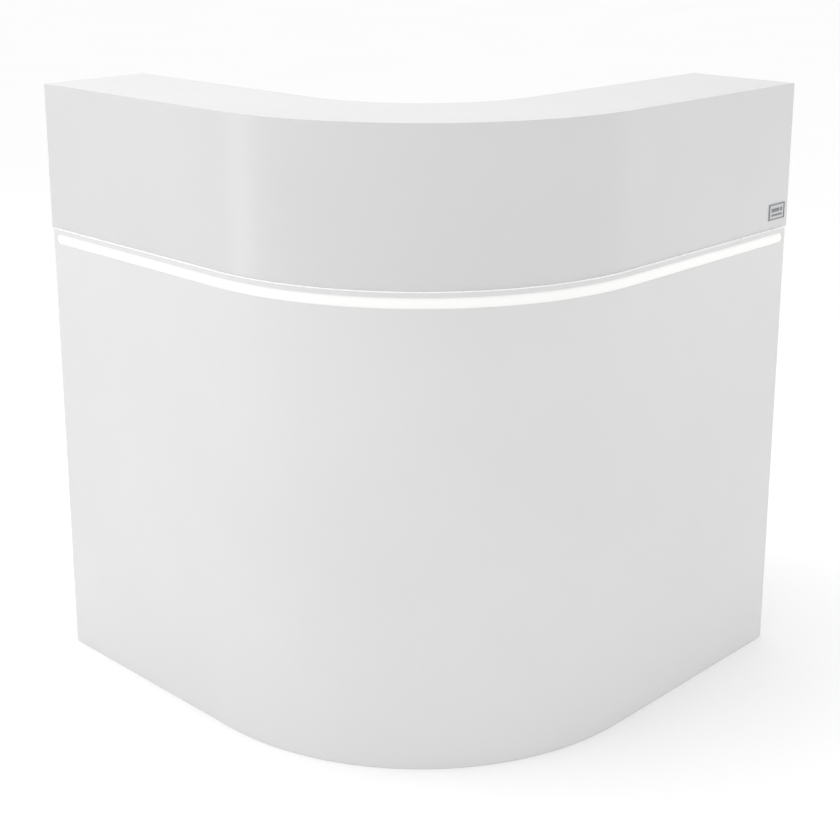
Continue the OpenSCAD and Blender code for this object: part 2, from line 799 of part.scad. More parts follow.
module upper_drawer_box() color(board_white) placed() drawer_box(upper_front_bottom);
module lower_drawer_box() color(board_white) placed() drawer_box(lower_front_bottom);
module upper_drawer_bottom() color(board_white) placed() drawer_bottom(upper_front_bottom);
module lower_drawer_bottom() color(board_white) placed() drawer_bottom(lower_front_bottom);
module upper_runner_mids() color(steel_grey) placed() runner_mid_pair(upper_front_bottom);
module lower_runner_mids() color(steel_grey) placed() runner_mid_pair(lower_front_bottom);
module upper_runner_inners() color(steel_grey) placed() runner_inner_pair(upper_front_bottom);
module lower_runner_inners() color(steel_grey) placed() runner_inner_pair(lower_front_bottom);

module upper_drawer_handle() color(steel_grey) placed()
    bar_handle(bay_middle, upper_front_bottom + drawer_front_h / 2);

module lower_drawer_handle() color(steel_grey) placed()
    bar_handle(bay_middle, lower_front_bottom + drawer_front_h / 2);

module drawer_lock_case() color(steel_grey) placed() lock_case(bay_middle, drawer_lock_z);
module drawer_lock_barrel() color(steel_grey) placed() lock_barrel(bay_middle, drawer_lock_z, 0);

// ---- cupboard door ----

module cupboard_door() color(laminate_white) placed() left_wing()
    front_board(fronts_bottom, fronts_top, door_lock_x, door_lock_z);

module door_handle() color(steel_grey) placed() left_wing()
    bar_handle(door_lock_x + door_handle_aside, door_handle_z, true);

module door_lock_case() color(steel_grey) placed() left_wing() lock_case(door_lock_x, door_lock_z);
module door_lock_barrel() color(steel_grey) placed() left_wing() lock_barrel(door_lock_x, door_lock_z, 90);

// Hinge knuckle: the middle third belongs to the door, the outer thirds to the frame
module knuckle(bottom, top)
    difference() {
        upright_rod(hinge_x, hinge_in, bottom, top, knuckle_r);
        upright_rod(hinge_x, hinge_in, bottom - cut, top + cut, hinge_pin_r + hinge_pin_clearance);
    }

module door_hinge_leaves() color(steel_grey) placed() left_wing()
    for (middle = hinge_heights) {
        knuckle(middle - hinge_h / 6 + knuckle_gap, middle + hinge_h / 6 - knuckle_gap);
        difference() {
            wing_box(front_end - door_leaf_w, hinge_x, front_face_in, front_face_in + hinge_leaf_t,
                middle - hinge_h / 6 + knuckle_gap, middle + hinge_h / 6 - knuckle_gap);
            upright_rod(hinge_x, hinge_in, middle - hinge_h, middle + hinge_h, knuckle_r - 0.5);
        }
        wing_box(front_end - door_leaf_w, front_end, front_face_in, front_face_in + hinge_leaf_t,
            middle - hinge_h / 2, middle + hinge_h / 2);
    }

module frame_hinge_leaves() color(steel_grey) placed() left_wing()
    for (middle = hinge_heights)
        for (side = [-1, 1]) {
            third_bottom = middle + side * hinge_h / 3 - hinge_h / 6;
            third_top = third_bottom + hinge_h / 3;
            knuckle(third_bottom, third_top);
            difference() {
                wing_box(body_len, body_len + hinge_leaf_t, carcass_in - frame_leaf_w, hinge_in,
                    third_bottom, third_top);
                upright_rod(hinge_x, hinge_in, middle - hinge_h, middle + hinge_h, knuckle_r - 0.5);
            }
        }

module hinge_pins() color(steel_grey) placed() left_wing()
    for (middle = hinge_heights)
        upright_rod(hinge_x, hinge_in, middle - hinge_h / 2 - 1, middle + hinge_h / 2 + 1, hinge_pin_r);

ledge_top();
fascia_panel();
left_ledge_end();
right_ledge_end();
ledge_rear_rail();
ledge_uprights();
fixing_batten();
body_panel();
left_end_panel();
right_end_panel();
worktop();
drawer_bay_side();
cupboard_bay_side();
base_panel();
kick_board();
corner_shelf();
drawer_bay_shelf();
cupboard_shelf();
shelf_pins();
floor_glides();
joining_sleeves();
angle_brackets();
bracket_screws();
name_plate();
led_channel();
led_tape();
led_diffuser();
led_driver();
led_lead();
supply_lead();
lead_clips();
power_box();
power_inlet();
switch_frame();
switch_rocker();
grommet_ring();
grommet_cap();
runner_outers();
upper_drawer_front();
upper_drawer_box();
upper_drawer_bottom();
upper_drawer_handle();
upper_runner_mids();
upper_runner_inners();
lower_drawer_front();
lower_drawer_box();
lower_drawer_bottom();
lower_drawer_handle();
lower_runner_mids();
lower_runner_inners();
drawer_lock_case();
drawer_lock_barrel();
lock_strikes();
cupboard_door();
door_handle();
door_lock_case();
door_lock_barrel();
door_hinge_leaves();
frame_hinge_leaves();
hinge_pins();
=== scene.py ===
"""Looks of the curved corner checkout counter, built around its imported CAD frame.

The counter is a quarter-round corner with a straight wing on each side. Its front faces -Y, and
every length here is in metres. A place on it is given along the front (from the corner's middle,
positive to the right), as a depth inwards from the fascia's face, and as a height.
"""

import math

import bmesh
import bpy
from mathutils import Matrix, Vector


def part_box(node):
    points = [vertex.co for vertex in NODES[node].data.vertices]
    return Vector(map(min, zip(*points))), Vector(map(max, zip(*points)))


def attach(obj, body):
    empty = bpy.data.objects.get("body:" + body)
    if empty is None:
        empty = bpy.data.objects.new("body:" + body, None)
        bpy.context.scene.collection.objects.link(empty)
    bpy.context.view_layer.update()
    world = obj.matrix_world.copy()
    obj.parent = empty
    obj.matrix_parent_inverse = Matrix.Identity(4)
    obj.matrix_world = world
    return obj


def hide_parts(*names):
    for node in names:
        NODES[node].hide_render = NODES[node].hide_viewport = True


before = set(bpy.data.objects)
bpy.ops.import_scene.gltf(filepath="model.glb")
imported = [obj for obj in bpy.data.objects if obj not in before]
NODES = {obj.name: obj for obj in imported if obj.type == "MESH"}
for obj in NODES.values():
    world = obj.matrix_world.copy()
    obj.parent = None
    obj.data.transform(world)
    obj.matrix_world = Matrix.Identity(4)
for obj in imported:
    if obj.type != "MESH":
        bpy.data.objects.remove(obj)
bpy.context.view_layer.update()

MM = 0.001

# ---- sizes, from the frame and a few driving dimensions ----

CORNER_R = 500 * MM
BOARD_T = 18 * MM

LEDGE_LOW, LEDGE_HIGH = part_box("ledge_top")
COUNTER_H = LEDGE_HIGH.z
FASCIA_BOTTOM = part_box("fascia_panel")[0].z
ARC_CENTRE_Y = LEDGE_LOW.y + CORNER_R
WING_LEN = LEDGE_HIGH.x * math.sqrt(2) - CORNER_R
HALF_ARC = CORNER_R * math.pi / 4
FRONT_HALF = HALF_ARC + WING_LEN


def front_point(along, depth, height):
    """The point that is so far along the front, so deep behind the fascia's face and so high."""
    side = -1 if along < 0 else 1
    distance = abs(along)
    angle = min(distance / CORNER_R, math.pi / 4)
    radius = CORNER_R - depth
    x = radius * math.sin(angle)
    y = -radius * math.cos(angle)
    straight = max(0.0, distance - HALF_ARC)
    x += straight * math.sqrt(0.5)
    y += straight * math.sqrt(0.5)
    return Vector((side * x, ARC_CENTRE_Y + y, height))


def wing_matrix(side):
    """Turns (distance along a wing from its arc, depth, height) into the frame; side is 1 or -1."""
    step_in = 100 * MM
    base = front_point(side * HALF_ARC, 0, 0)
    along = front_point(side * (HALF_ARC + 1), 0, 0) - base
    inwards = front_point(side * HALF_ARC, step_in, 0) - base
    inwards.normalize()
    up = Vector((0, 0, 1))
    columns = Matrix((along, inwards, up)).transposed().to_4x4()
    return Matrix.Translation(base) @ columns


RIGHT = wing_matrix(1)
LEFT = wing_matrix(-1)

# ---- mesh building ----


def add_piece(name, bm, body, slot, edge=0.0, sharp=30):
    """Turns a bmesh into a piece that rides on a body, in a slot's material."""
    bmesh.ops.recalc_face_normals(bm, faces=bm.faces)
    mesh = bpy.data.meshes.new(name)
    bm.to_mesh(mesh)
    bm.free()
    mesh.polygons.foreach_set("use_smooth", [True] * len(mesh.polygons))
    mesh.set_sharp_from_angle(angle=math.radians(sharp))
    mesh.materials.append(MATERIALS[slot])
    piece = bpy.data.objects.new(name, mesh)
    bpy.context.scene.collection.objects.link(piece)
    if edge:
        round_edges(piece, edge)
    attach(piece, body)
    return piece


BLOCK_FACES = (
    (0, 1, 3, 2), (4, 6, 7, 5), (0, 4, 5, 1), (2, 3, 7, 6), (0, 2, 6, 4), (1, 5, 7, 3),
)


def add_block(bm, place, low, high):
    """A box between two corners, turned into the frame by place."""
    corners = [
        bm.verts.new(place @ Vector((x, y, z)))
        for x in (low[0], high[0]) for y in (low[1], high[1]) for z in (low[2], high[2])
    ]
    for face in BLOCK_FACES:
        bm.faces.new([corners[i] for i in face])


def circle_points(radius, count, height):
    """Points of a circle about the z axis."""
    turns = [2 * math.pi * i / count for i in range(count)]
    return [Vector((radius * math.cos(t), radius * math.sin(t), height)) for t in turns]


def add_rings(bm, place, rings, close_last=True):
    """Skins a row of equally long rings of points, and closes the first and the last."""
    loops = [[bm.verts.new(place @ point) for point in ring] for ring in rings]
    count = len(loops[0])
    for first, second in zip(loops, loops[1:]):
        for i in range(count):
            j = (i + 1) % count
            bm.faces.new((first[i], first[j], second[j], second[i]))
    bm.faces.new(loops[0][::-1])
    if close_last:
        bm.faces.new(loops[-1])
    return loops


def add_turned(bm, place, outline, count=24, close_last=True):
    """A turned form about place's z axis: outline is a list of (radius, height)."""
    rings = [circle_points(radius, count, height) for radius, height in outline]
    return add_rings(bm, place, rings, close_last)


def facing(place, point, direction):
    """A placement at a point of place's layout whose z axis points along direction there."""
    turn = Vector(direction).to_track_quat("Z", "Y").to_matrix().to_4x4()
    return place @ Matrix.Translation(point) @ turn


def front_stations(half_length, arc_steps=96):
    """Distances along the front: both ends, and even steps round the arc."""
    arc = [HALF_ARC * (2 * i / arc_steps - 1) for i in range(arc_steps + 1)]
    return [-half_length, *arc, half_length]


def add_sweep(bm, profile_at, stations):
    """Carries a closed profile of (depth, height) points along the front."""
    rings = []
    for along in stations:
        rings.append([front_point(along, depth, height) for depth, height in profile_at(along)])
    add_rings(bm, Matrix.Identity(4), rings)


def rounded_rectangle(near, far, bottom, top, radius, steps=3):
    """A rectangle of (depth, height) points with round corners."""
    points = []
    corners = ((far, top, 0), (near, top, 90), (near, bottom, 180), (far, bottom, 270))
    for depth, height, start in corners:
        middle_depth = depth - radius if depth == far else depth + radius
        middle_height = height - radius if height == top else height + radius
        for i in range(steps + 1):
            turn = math.radians(start + 90 * i / steps)
            points.append((
                middle_depth + radius * math.cos(turn), middle_height + radius * math.sin(turn)))
    return points


# ---- materials ----


def new_material(name):
    """A material with an empty node tree but for its Principled shader, and that shader."""
    material = bpy.data.materials.new(name)
    material.use_nodes = True
    shader = material.node_tree.nodes["Principled BSDF"]
    return material, shader


def add_node(material, kind, inputs=None, **settings):
    """Adds a shader node, sets its properties and its inputs' values, and returns it."""
    node = material.node_tree.nodes.new(kind)
    for key, value in settings.items():
        setattr(node, key, value)
    for key, value in (inputs or {}).items():
        node.inputs[key].default_value = value
    return node


def link(material, source, target):
    """Joins a node's output to a node's input."""
    material.node_tree.links.new(source, target)


def object_coordinates(material, scale=(1, 1, 1)):
    """Object coordinates, stretched by scale."""
    coordinates = add_node(material, "ShaderNodeTexCoord")
    mapping = add_node(material, "ShaderNodeMapping", {"Scale": scale})
    link(material, coordinates.outputs["Object"], mapping.inputs["Vector"])
    return mapping.outputs["Vector"]


def noise(material, vector, scale, detail=2.0, roughness=0.5):
    """A noise pattern from 0 to 1; a greater scale makes it finer."""
    node = add_node(
        material, "ShaderNodeTexNoise",
        {"Scale": scale, "Detail": detail, "Roughness": roughness},
    )
    link(material, vector, node.inputs["Vector"])
    return node.outputs["Fac"]


def value_range(material, source, low, high, from_low=0.3, from_high=0.7):
    """Maps a 0 to 1 pattern to a range of values."""
    node = add_node(
        material, "ShaderNodeMapRange",
        {"From Min": from_low, "From Max": from_high, "To Min": low, "To Max": high},
    )
    link(material, source, node.inputs["Value"])
    return node.outputs["Result"]


def mix_colour(material, factor, first, second):
    """Blends two colours by a 0 to 1 pattern."""
    node = add_node(material, "ShaderNodeMix", data_type="RGBA")
    node.inputs["A"].default_value = (*first, 1)
    node.inputs["B"].default_value = (*second, 1)
    link(material, factor, node.inputs["Factor"])
    return node.outputs["Result"]


def bump(material, height, distance, normal=None):
    """A surface normal tilted by a height pattern, which is up to distance metres deep."""
    node = add_node(material, "ShaderNodeBump", {"Distance": distance, "Strength": 1.0})
    link(material, height, node.inputs["Height"])
    if normal is not None:
        link(material, normal, node.inputs["Normal"])
    return node.outputs["Normal"]


def grey(level):
    """A neutral colour."""
    return (level, level, level)


def add_clouds(material, shader, vector, scale, first, second):
    """Gives a shader a colour that drifts softly between two near shades."""
    cloud = noise(material, vector, scale)
    tint = value_range(material, cloud, 0.0, 1.0)
    link(material, mix_colour(material, tint, first, second), shader.inputs["Base Color"])


def vary_roughness(material, shader, pattern, low, high):
    """Lets a pattern vary a shader's roughness between two values."""
    link(material, value_range(material, pattern, low, high), shader.inputs["Roughness"])


def laminate_material(name, lightness, gloss):
    """White high-pressure laminate: a fine pebble in the press plate's finish."""
    material, shader = new_material(name)
    coordinates = object_coordinates(material)
    drift = 0.01
    add_clouds(
        material, shader, coordinates, 3.0, grey(lightness - drift), grey(lightness + drift))
    smear = noise(material, coordinates, scale=14.0, detail=4.0)
    vary_roughness(material, shader, smear, *gloss)
    pebble = noise(material, coordinates, scale=900.0, detail=1.0)
    wave = noise(material, coordinates, scale=70.0, detail=1.0)
    fine = bump(material, pebble, distance=0.00003)
    coarse = bump(material, wave, distance=0.00006, normal=fine)
    link(material, coarse, shader.inputs["Normal"])
    shader.inputs["IOR"].default_value = 1.48
    return material


def edge_band_material():
    """White ABS edge band: glossier and a touch greyer than the laminate beside it."""
    material, shader = new_material("edge_band")
    coordinates = object_coordinates(material)
    add_clouds(material, shader, coordinates, 8.0, grey(0.68), (0.70, 0.70, 0.695))
    grain = noise(material, coordinates, scale=650.0)
    vary_roughness(material, shader, grain, 0.27, 0.33)
    link(material, bump(material, grain, distance=0.00003), shader.inputs["Normal"])
    return material


def carcass_material():
    """White melamine-faced board, a little greyer and duller than the laminate."""
    material, shader = new_material("carcass_board")
    coordinates = object_coordinates(material)
    add_clouds(material, shader, coordinates, 5.0, (0.675, 0.675, 0.66), (0.70, 0.70, 0.69))
    smear = noise(material, coordinates, scale=20.0, detail=3.0)
    vary_roughness(material, shader, smear, 0.46, 0.56)
    pearl = noise(material, coordinates, scale=520.0)
    link(material, bump(material, pearl, distance=0.00008), shader.inputs["Normal"])
    return material


# How bright the diffuser is, from its lower edge (0) to its upper edge (1)
GLOW_CURVE = (
    (0.0, 0.84), (0.1, 0.92), (0.22, 0.98), (0.4, 1.0), (0.62, 1.0), (0.78, 0.95), (0.9, 0.84),
    (1.0, 0.62),
)
# Emission strength of its brightest part
FULL_GLOW = 0.36


def opal_material():
    """Lit opal diffuser: brightest along its middle, and dimmer towards both edges."""
    material, shader = new_material("opal_diffuser")
    coordinates = object_coordinates(material)
    satin = noise(material, coordinates, scale=400.0)
    link(material, bump(material, satin, distance=0.00002), shader.inputs["Normal"])
    shader.inputs["Base Color"].default_value = (0.62, 0.62, 0.615, 1)
    shader.inputs["Roughness"].default_value = 0.42
    low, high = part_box("led_diffuser")
    separate = add_node(material, "ShaderNodeSeparateXYZ")
    link(material, coordinates, separate.inputs["Vector"])
    share = value_range(material, separate.outputs["Z"], 0.0, 1.0, low.z, high.z)
    ramp = add_node(material, "ShaderNodeFloatCurve")
    curve = ramp.mapping.curves[0]
    curve.points[0].location = GLOW_CURVE[0]
    curve.points[1].location = GLOW_CURVE[-1]
    for height, level in GLOW_CURVE[1:-1]:
        curve.points.new(height, level)
    ramp.mapping.update()
    link(material, share, ramp.inputs["Value"])
    glow = add_node(material, "ShaderNodeMath", {1: FULL_GLOW}, operation="MULTIPLY")
    link(material, ramp.outputs["Value"], glow.inputs[0])
    link(material, glow.outputs["Value"], shader.inputs["Emission Strength"])
    shader.inputs["Emission Color"].default_value = (1.0, 0.995, 0.98, 1)
    return material


def painted_highlight_strip_material():
    """Clear-edged white strip whose faint glow is painted light: a painted highlight line along the
    front panel's upper edge, fed by no lamp.
    """
    material, shader = new_material("glow_strip")
    coordinates = object_coordinates(material)
    streak = noise(material, coordinates, scale=60.0)
    vary_roughness(material, shader, streak, 0.25, 0.35)
    shader.inputs["Base Color"].default_value = (0.80, 0.80, 0.80, 1)
    shader.inputs["Emission Color"].default_value = (1.0, 1.0, 0.99, 1)
    # Painted light: this glow paints the strip's bright highlight line
    shader.inputs["Emission Strength"].default_value = 0.22
    return material


def tape_material():
    """White LED tape with a faint flex texture."""
    material, shader = new_material("led_tape")
    coordinates = object_coordinates(material)
    flex = noise(material, coordinates, scale=300.0)
    vary_roughness(material, shader, flex, 0.4, 0.55)
    shader.inputs["Base Color"].default_value = (0.82, 0.81, 0.76, 1)
    shader.inputs["Emission Color"].default_value = (1.0, 0.97, 0.9, 1)
    shader.inputs["Emission Strength"].default_value = 0.5
    return material


def metal_material(name, colour, roughness, stretch, scratch_depth, scale=60.0):
    """Metal with a directional brush: stretch sets how long the scratches run on each axis."""
    material, shader = new_material(name)
    coordinates = object_coordinates(material, stretch)
    brush = noise(material, coordinates, scale, detail=4.0, roughness=0.6)
    vary_roughness(material, shader, brush, *roughness)
    darker = tuple(0.92 * c for c in colour)
    link(material, mix_colour(material, brush, darker, colour), shader.inputs["Base Color"])
    link(material, bump(material, brush, scratch_depth), shader.inputs["Normal"])
    shader.inputs["Metallic"].default_value = 1.0
    return material


def plastic_material(name, colour, roughness):
    """Moulded plastic with a fine spark-eroded grain."""
    material, shader = new_material(name)
    coordinates = object_coordinates(material)
    grain = noise(material, coordinates, scale=1400.0)
    vary_roughness(material, shader, grain, *roughness)
    lighter = tuple(min(1.0, 1.15 * c) for c in colour)
    link(material, mix_colour(material, grain, colour, lighter), shader.inputs["Base Color"])
    link(material, bump(material, grain, distance=0.00004), shader.inputs["Normal"])
    return material


def make_materials():
    """One material for each of the record's slots, and the finishes of parts within a slot; the
    fascia's darker copy carries painted shade and the highlight strip painted light.
    """
    return {
        "laminate": laminate_material("laminate", lightness=0.734, gloss=(0.38, 0.45)),
        # A glossier copy of the laminate whose lower lightness is painted shade on the fascia
        "laminate/shaded_fascia": laminate_material("fascia", lightness=0.677, gloss=(0.20, 0.24)),
        "laminate/edge_band": edge_band_material(),
        "laminate/floor_seal": plastic_material("floor_seal", grey(0.70), roughness=(0.4, 0.5)),
        "carcass_board": carcass_material(),
        "opal_diffuser": opal_material(),
        # The strip's finish glows with painted light, as a painted highlight line
        "opal_diffuser/glow_strip": painted_highlight_strip_material(),
        "led_tape": tape_material(),
        "aluminium_profile": metal_material(
            "aluminium_profile", (0.66, 0.67, 0.68), roughness=(0.32, 0.42),
            stretch=(1, 1, 14), scratch_depth=0.00002),
        "zinc_steel": metal_material(
            "zinc_steel", (0.50, 0.515, 0.53), roughness=(0.28, 0.36),
            stretch=(7, 7, 7), scratch_depth=0.00001),
        "brushed_handle": metal_material(
            "brushed_handle", (0.52, 0.52, 0.51), roughness=(0.2, 0.32),
            stretch=(18, 18, 18), scratch_depth=0.00002),
        "lock_nickel": metal_material(
            "lock_nickel", (0.56, 0.54, 0.50), roughness=(0.12, 0.2),
            stretch=(8, 8, 8), scratch_depth=0.00001),
        "grommet_metal": metal_material(
            "grommet_metal", (0.50, 0.51, 0.52), roughness=(0.22, 0.34),
            stretch=(12, 12, 12), scratch_depth=0.00002),
        "plate_silver": metal_material(
            "plate_silver", (0.50, 0.51, 0.52), roughness=(0.3, 0.4),
            stretch=(2, 2, 40), scratch_depth=0.00002, scale=30.0),
        "plate_silver/border": metal_material(
            "plate_border", (0.22, 0.22, 0.23), roughness=(0.35, 0.45),
            stretch=(2, 2, 40), scratch_depth=0.00002, scale=30.0),
        "black_plastic": plastic_material(
            "black_plastic", (0.018, 0.018, 0.02), roughness=(0.38, 0.5)),
        "driver_case": plastic_material(
            "driver_case", (0.55, 0.56, 0.57), roughness=(0.4, 0.5)),
        "lead_sheath": plastic_material(
            "lead_sheath", (0.10, 0.10, 0.11), roughness=(0.42, 0.52)),
        "lead_sheath/bumper": plastic_material(
            "bumper", (0.42, 0.42, 0.43), roughness=(0.3, 0.4)),
    }


MATERIALS = make_materials()

# ---- the CAD pieces ----

# Edge rounding of each kind of piece
EDGE_R = {
    "laminate": 0.7 * MM,
    "carcass_board": 0.5 * MM,
    "opal_diffuser": 0.6 * MM,
    "led_tape": 0.1 * MM,
    "aluminium_profile": 0.2 * MM,
    "zinc_steel": 0.25 * MM,
    "brushed_handle": 0.6 * MM,
    "lock_nickel": 0.35 * MM,
    "grommet_metal": 0.5 * MM,
    "plate_silver": 0.3 * MM,
    "black_plastic": 0.5 * MM,
    "driver_case": 1.0 * MM,
    "lead_sheath": 0.2 * MM,
}

# Nodes whose finish differs from the rest of their slot: the fascia's is glossier, and darker by
# painted shade
FINISH = {
    "fascia_panel": "laminate/shaded_fascia",
}


def slot_of(node):
    """The name of the record's material slot that a CAD node came with."""
    return NODES[node].data.materials[0].name.split(".")[0]


def round_edges(piece, width, segments=3):
    """Welds a mesh, joins its flat faces and rounds its sharp edges."""
    weld = piece.modifiers.new("weld", "WELD")
    weld.merge_threshold = 0.000005
    flat = piece.modifiers.new("flat", "DECIMATE")
    flat.decimate_type = "DISSOLVE"
    flat.angle_limit = math.radians(0.3)
    bevel = piece.modifiers.new("bevel", "BEVEL")
    bevel.width = width
    bevel.segments = segments
    bevel.limit_method = "ANGLE"
    bevel.angle_limit = math.radians(30)
    bevel.harden_normals = True
    weighted = piece.modifiers.new("weighted", "WEIGHTED_NORMAL")
    weighted.keep_sharp = True


def finish_cad_nodes():
    """Gives every CAD node its finish and its rounded edges."""
    for node, piece in NODES.items():
        slot = slot_of(node)
        piece.data.materials[0] = MATERIALS[FINISH.get(node, slot)]
        round_edges(piece, EDGE_R[slot])


# ---- sizes of the wings' parts, along a wing, inwards and upwards ----


def wing_extent(node, place):
    """A CAD node's least and greatest (distance along the wing, depth, height)."""
    piece = NODES[node]
    to_wing = place.inverted() @ piece.matrix_world
    spots = [to_wing @ vert.co for vert in piece.data.vertices]
    low = Vector([min(spot[axis] for spot in spots) for axis in range(3)])
    high = Vector([max(spot[axis] for spot in spots) for axis in range(3)])
    return low, high


DIFFUSER = wing_extent("led_diffuser", RIGHT)
NAME_PLATE = wing_extent("name_plate", RIGHT)
UPPER_FRONT = wing_extent("upper_drawer_front", RIGHT)
LOWER_FRONT = wing_extent("lower_drawer_front", RIGHT)
DOOR = wing_extent("cupboard_door", LEFT)
BAY_SIDE = wing_extent("drawer_bay_side", RIGHT)
END_PANEL = wing_extent("right_end_panel", RIGHT)
BAY_SHELF = wing_extent("drawer_bay_shelf", RIGHT)
CUPBOARD_SHELF = wing_extent("cupboard_shelf", LEFT)
LEDGE_END = wing_extent("right_ledge_end", RIGHT)
WORKTOP_Z = [corner.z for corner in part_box("worktop")]
BASE_Z = [corner.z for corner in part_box("base_panel")]
CORNER_SHELF_Z = [corner.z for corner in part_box("corner_shelf")]

BAY_LOW = BAY_SIDE[1].x
BAY_HIGH = END_PANEL[0].x
BODY_LEN = END_PANEL[1].x
BODY_HALF = HALF_ARC + BODY_LEN
PANEL_PROUD = -wing_extent("body_panel", RIGHT)[0].y
CARCASS_DEPTH = END_PANEL[1].y
LEDGE_DEPTH = LEDGE_END[1].y
# Inner face of a bay's side and the direction from it into the bay, for both sides
BAY_FACES = ((BAY_LOW, 1), (BAY_HIGH, -1))
WORKTOP_DEPTH = 460 * MM
CORNER_SHELF_DEPTH = 400 * MM
BAND_T = 0.6 * MM
BAND_EDGE_R = 0.15 * MM

# ---- the front ----


def make_diffuser():
    """The opal diffuser: a shallow dome with round ends, in place of the plain CAD strip."""
    low, high = DIFFUSER
    half_height = (high.z - low.z) / 2
    middle = (high.z + low.z) / 2
    end_centre = HALF_ARC + high.x - half_height
    crown_depth = low.y
    back_depth = crown_depth + 2.8 * MM
    crown = 0.6 * MM
    # A greater power keeps the dome flat further towards its edges
    flatness = 8
    steps = 12
    end_steps = 8
    # The last station stops just short of the end, so that the profile never closes to a point
    last = 0.9999

    def profile_at(along):
        """The lens's section, which shrinks along its round ends."""
        past = max(0.0, abs(along) - end_centre)
        reach = math.sqrt(max(0.0, half_height ** 2 - past ** 2))
        points = [(back_depth, middle + reach), (back_depth, middle - reach)]
        for i in range(steps + 1):
            share = 2 * i / steps - 1
            fall = (1 - reach / half_height) + abs(share) ** flatness
            points.append((crown_depth + crown * min(1.0, fall), middle + share * reach))
        return points

    turns = [math.pi / 2 * i / end_steps for i in range(end_steps)]
    ends = [end_centre + half_height * math.sin(turn) for turn in turns]
    ends.append(end_centre + last * half_height)
    stations = [-e for e in reversed(ends)] + front_stations(end_centre)[1:-1] + ends
    bm = bmesh.new()
    add_sweep(bm, profile_at, stations)
    piece = add_piece("diffuser_lens", bm, "counter", "opal_diffuser")
    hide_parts("led_diffuser")


def make_painted_highlight_strip():
    """Slim strip on the front panel's upper edge, in the corner below the fascia, that glows as a
    painted highlight line.
    """
    setback = 0.1 * MM
    fascia_gap = 0.15 * MM
    strip_h = 1.1 * MM
    corner_r = 0.5 * MM
    end_gap = 0.5 * MM
    profile = rounded_rectangle(
        setback - PANEL_PROUD, -fascia_gap, FASCIA_BOTTOM, FASCIA_BOTTOM + strip_h, corner_r)
    bm = bmesh.new()
    add_sweep(bm, lambda along: profile, front_stations(BODY_HALF - end_gap))
    add_piece("panel_painted_highlight_strip", bm, "counter", "opal_diffuser/glow_strip")


def make_floor_seal():
    """Soft lip that closes the gap between the curved front panel and the floor."""
    top = 3.2 * MM
    foot = 0.1 * MM
    end_gap = 1 * MM
    # Down its outer face, along its foot and up its inner face
    profile = [
        (-4.4 * MM, top), (-4.6 * MM, 0.6 * MM), (-4.0 * MM, foot),
        (-2.6 * MM, foot), (-1.6 * MM, 1.2 * MM), (-1.4 * MM, top),
    ]
    bm = bmesh.new()
    add_sweep(bm, lambda along: profile, front_stations(BODY_HALF - end_gap))
    add_piece("floor_seal", bm, "counter", "laminate/floor_seal")


def make_plate_details():
    """The name plate's dark border and three blank bars in place of any wording."""
    low, high = NAME_PLATE
    width = high.x - low.x
    height = high.z - low.z
    rim = 2.4 * MM
    inset = 0.6 * MM
    border_t = 0.5 * MM
    bar_t = 0.25 * MM
    left = low.x + inset
    right = high.x - inset
    border_face = low.y - border_t
    bar_face = low.y - bar_t
    border = bmesh.new()
    for x0, x1, z0, z1 in (
        (left, right, low.z + inset, low.z + rim),
        (left, right, high.z - rim, high.z - inset),
        (left, left + rim, low.z + rim, high.z - rim),
        (right - rim, right, low.z + rim, high.z - rim),
    ):
        add_block(border, RIGHT, (x0, border_face, z0), (x1, low.y, z1))
    add_piece("name_plate_border", border, "counter", "plate_silver/border")
    bars = bmesh.new()
    # Start and stop of each bar as shares of the width, then bottom and top as shares of the height
    for start, stop, bottom, top in (
        (0.16, 0.66, 0.50, 0.72),
        (0.72, 0.84, 0.50, 0.72),
        (0.16, 0.84, 0.24, 0.36),
    ):
        add_block(
            bars, RIGHT,
            (low.x + start * width, bar_face, low.z + bottom * height),
            (low.x + stop * width, low.y, low.z + top * height),
        )
    add_piece("name_plate_bars", bars, "counter", "plate_silver/border")


# ---- edge bands ----


def add_front_band(bm, place, extent):
    """The four strips round a drawer front or a door."""
    low, high = extent
    left = low.x - BAND_T
    right = high.x + BAND_T
    for x0, x1, z0, z1 in (
        (left, right, low.z - BAND_T, low.z),
        (left, right, high.z, high.z + BAND_T),
        (left, low.x, low.z, high.z),
        (high.x, right, low.z, high.z),
    ):
        add_block(bm, place, (x0, low.y, z0), (x1, high.y, z1))


def make_front_bands():
    """Edge bands round the drawer fronts and the door."""
    fronts = (
        ("upper_drawer_band", RIGHT, UPPER_FRONT, "upper_drawer"),
        ("lower_drawer_band", RIGHT, LOWER_FRONT, "lower_drawer"),
        ("door_band", LEFT, DOOR, "door"),
    )
    for name, place, extent, body in fronts:
        bm = bmesh.new()
        add_front_band(bm, place, extent)
        add_piece(name, bm, body, "laminate/edge_band", BAND_EDGE_R)


def add_edge_sweep(bm, depth, bottom, top, half_length):
    """A band on a curved board's inner edge, which lies at a depth."""
    low = bottom + BAND_T
    high = top - BAND_T
    profile = [(depth, low), (depth, high), (depth + BAND_T, high), (depth + BAND_T, low)]
    add_sweep(bm, lambda along: profile, front_stations(half_length))


def add_inner_band(bm, place, start, stop, depth, bottom, top):
    """A band on a straight board's inner edge, from start to stop along a wing."""
    add_block(
        bm, place, (start + BAND_T, depth, bottom),
        (stop - BAND_T, depth + BAND_T, top - BAND_T))


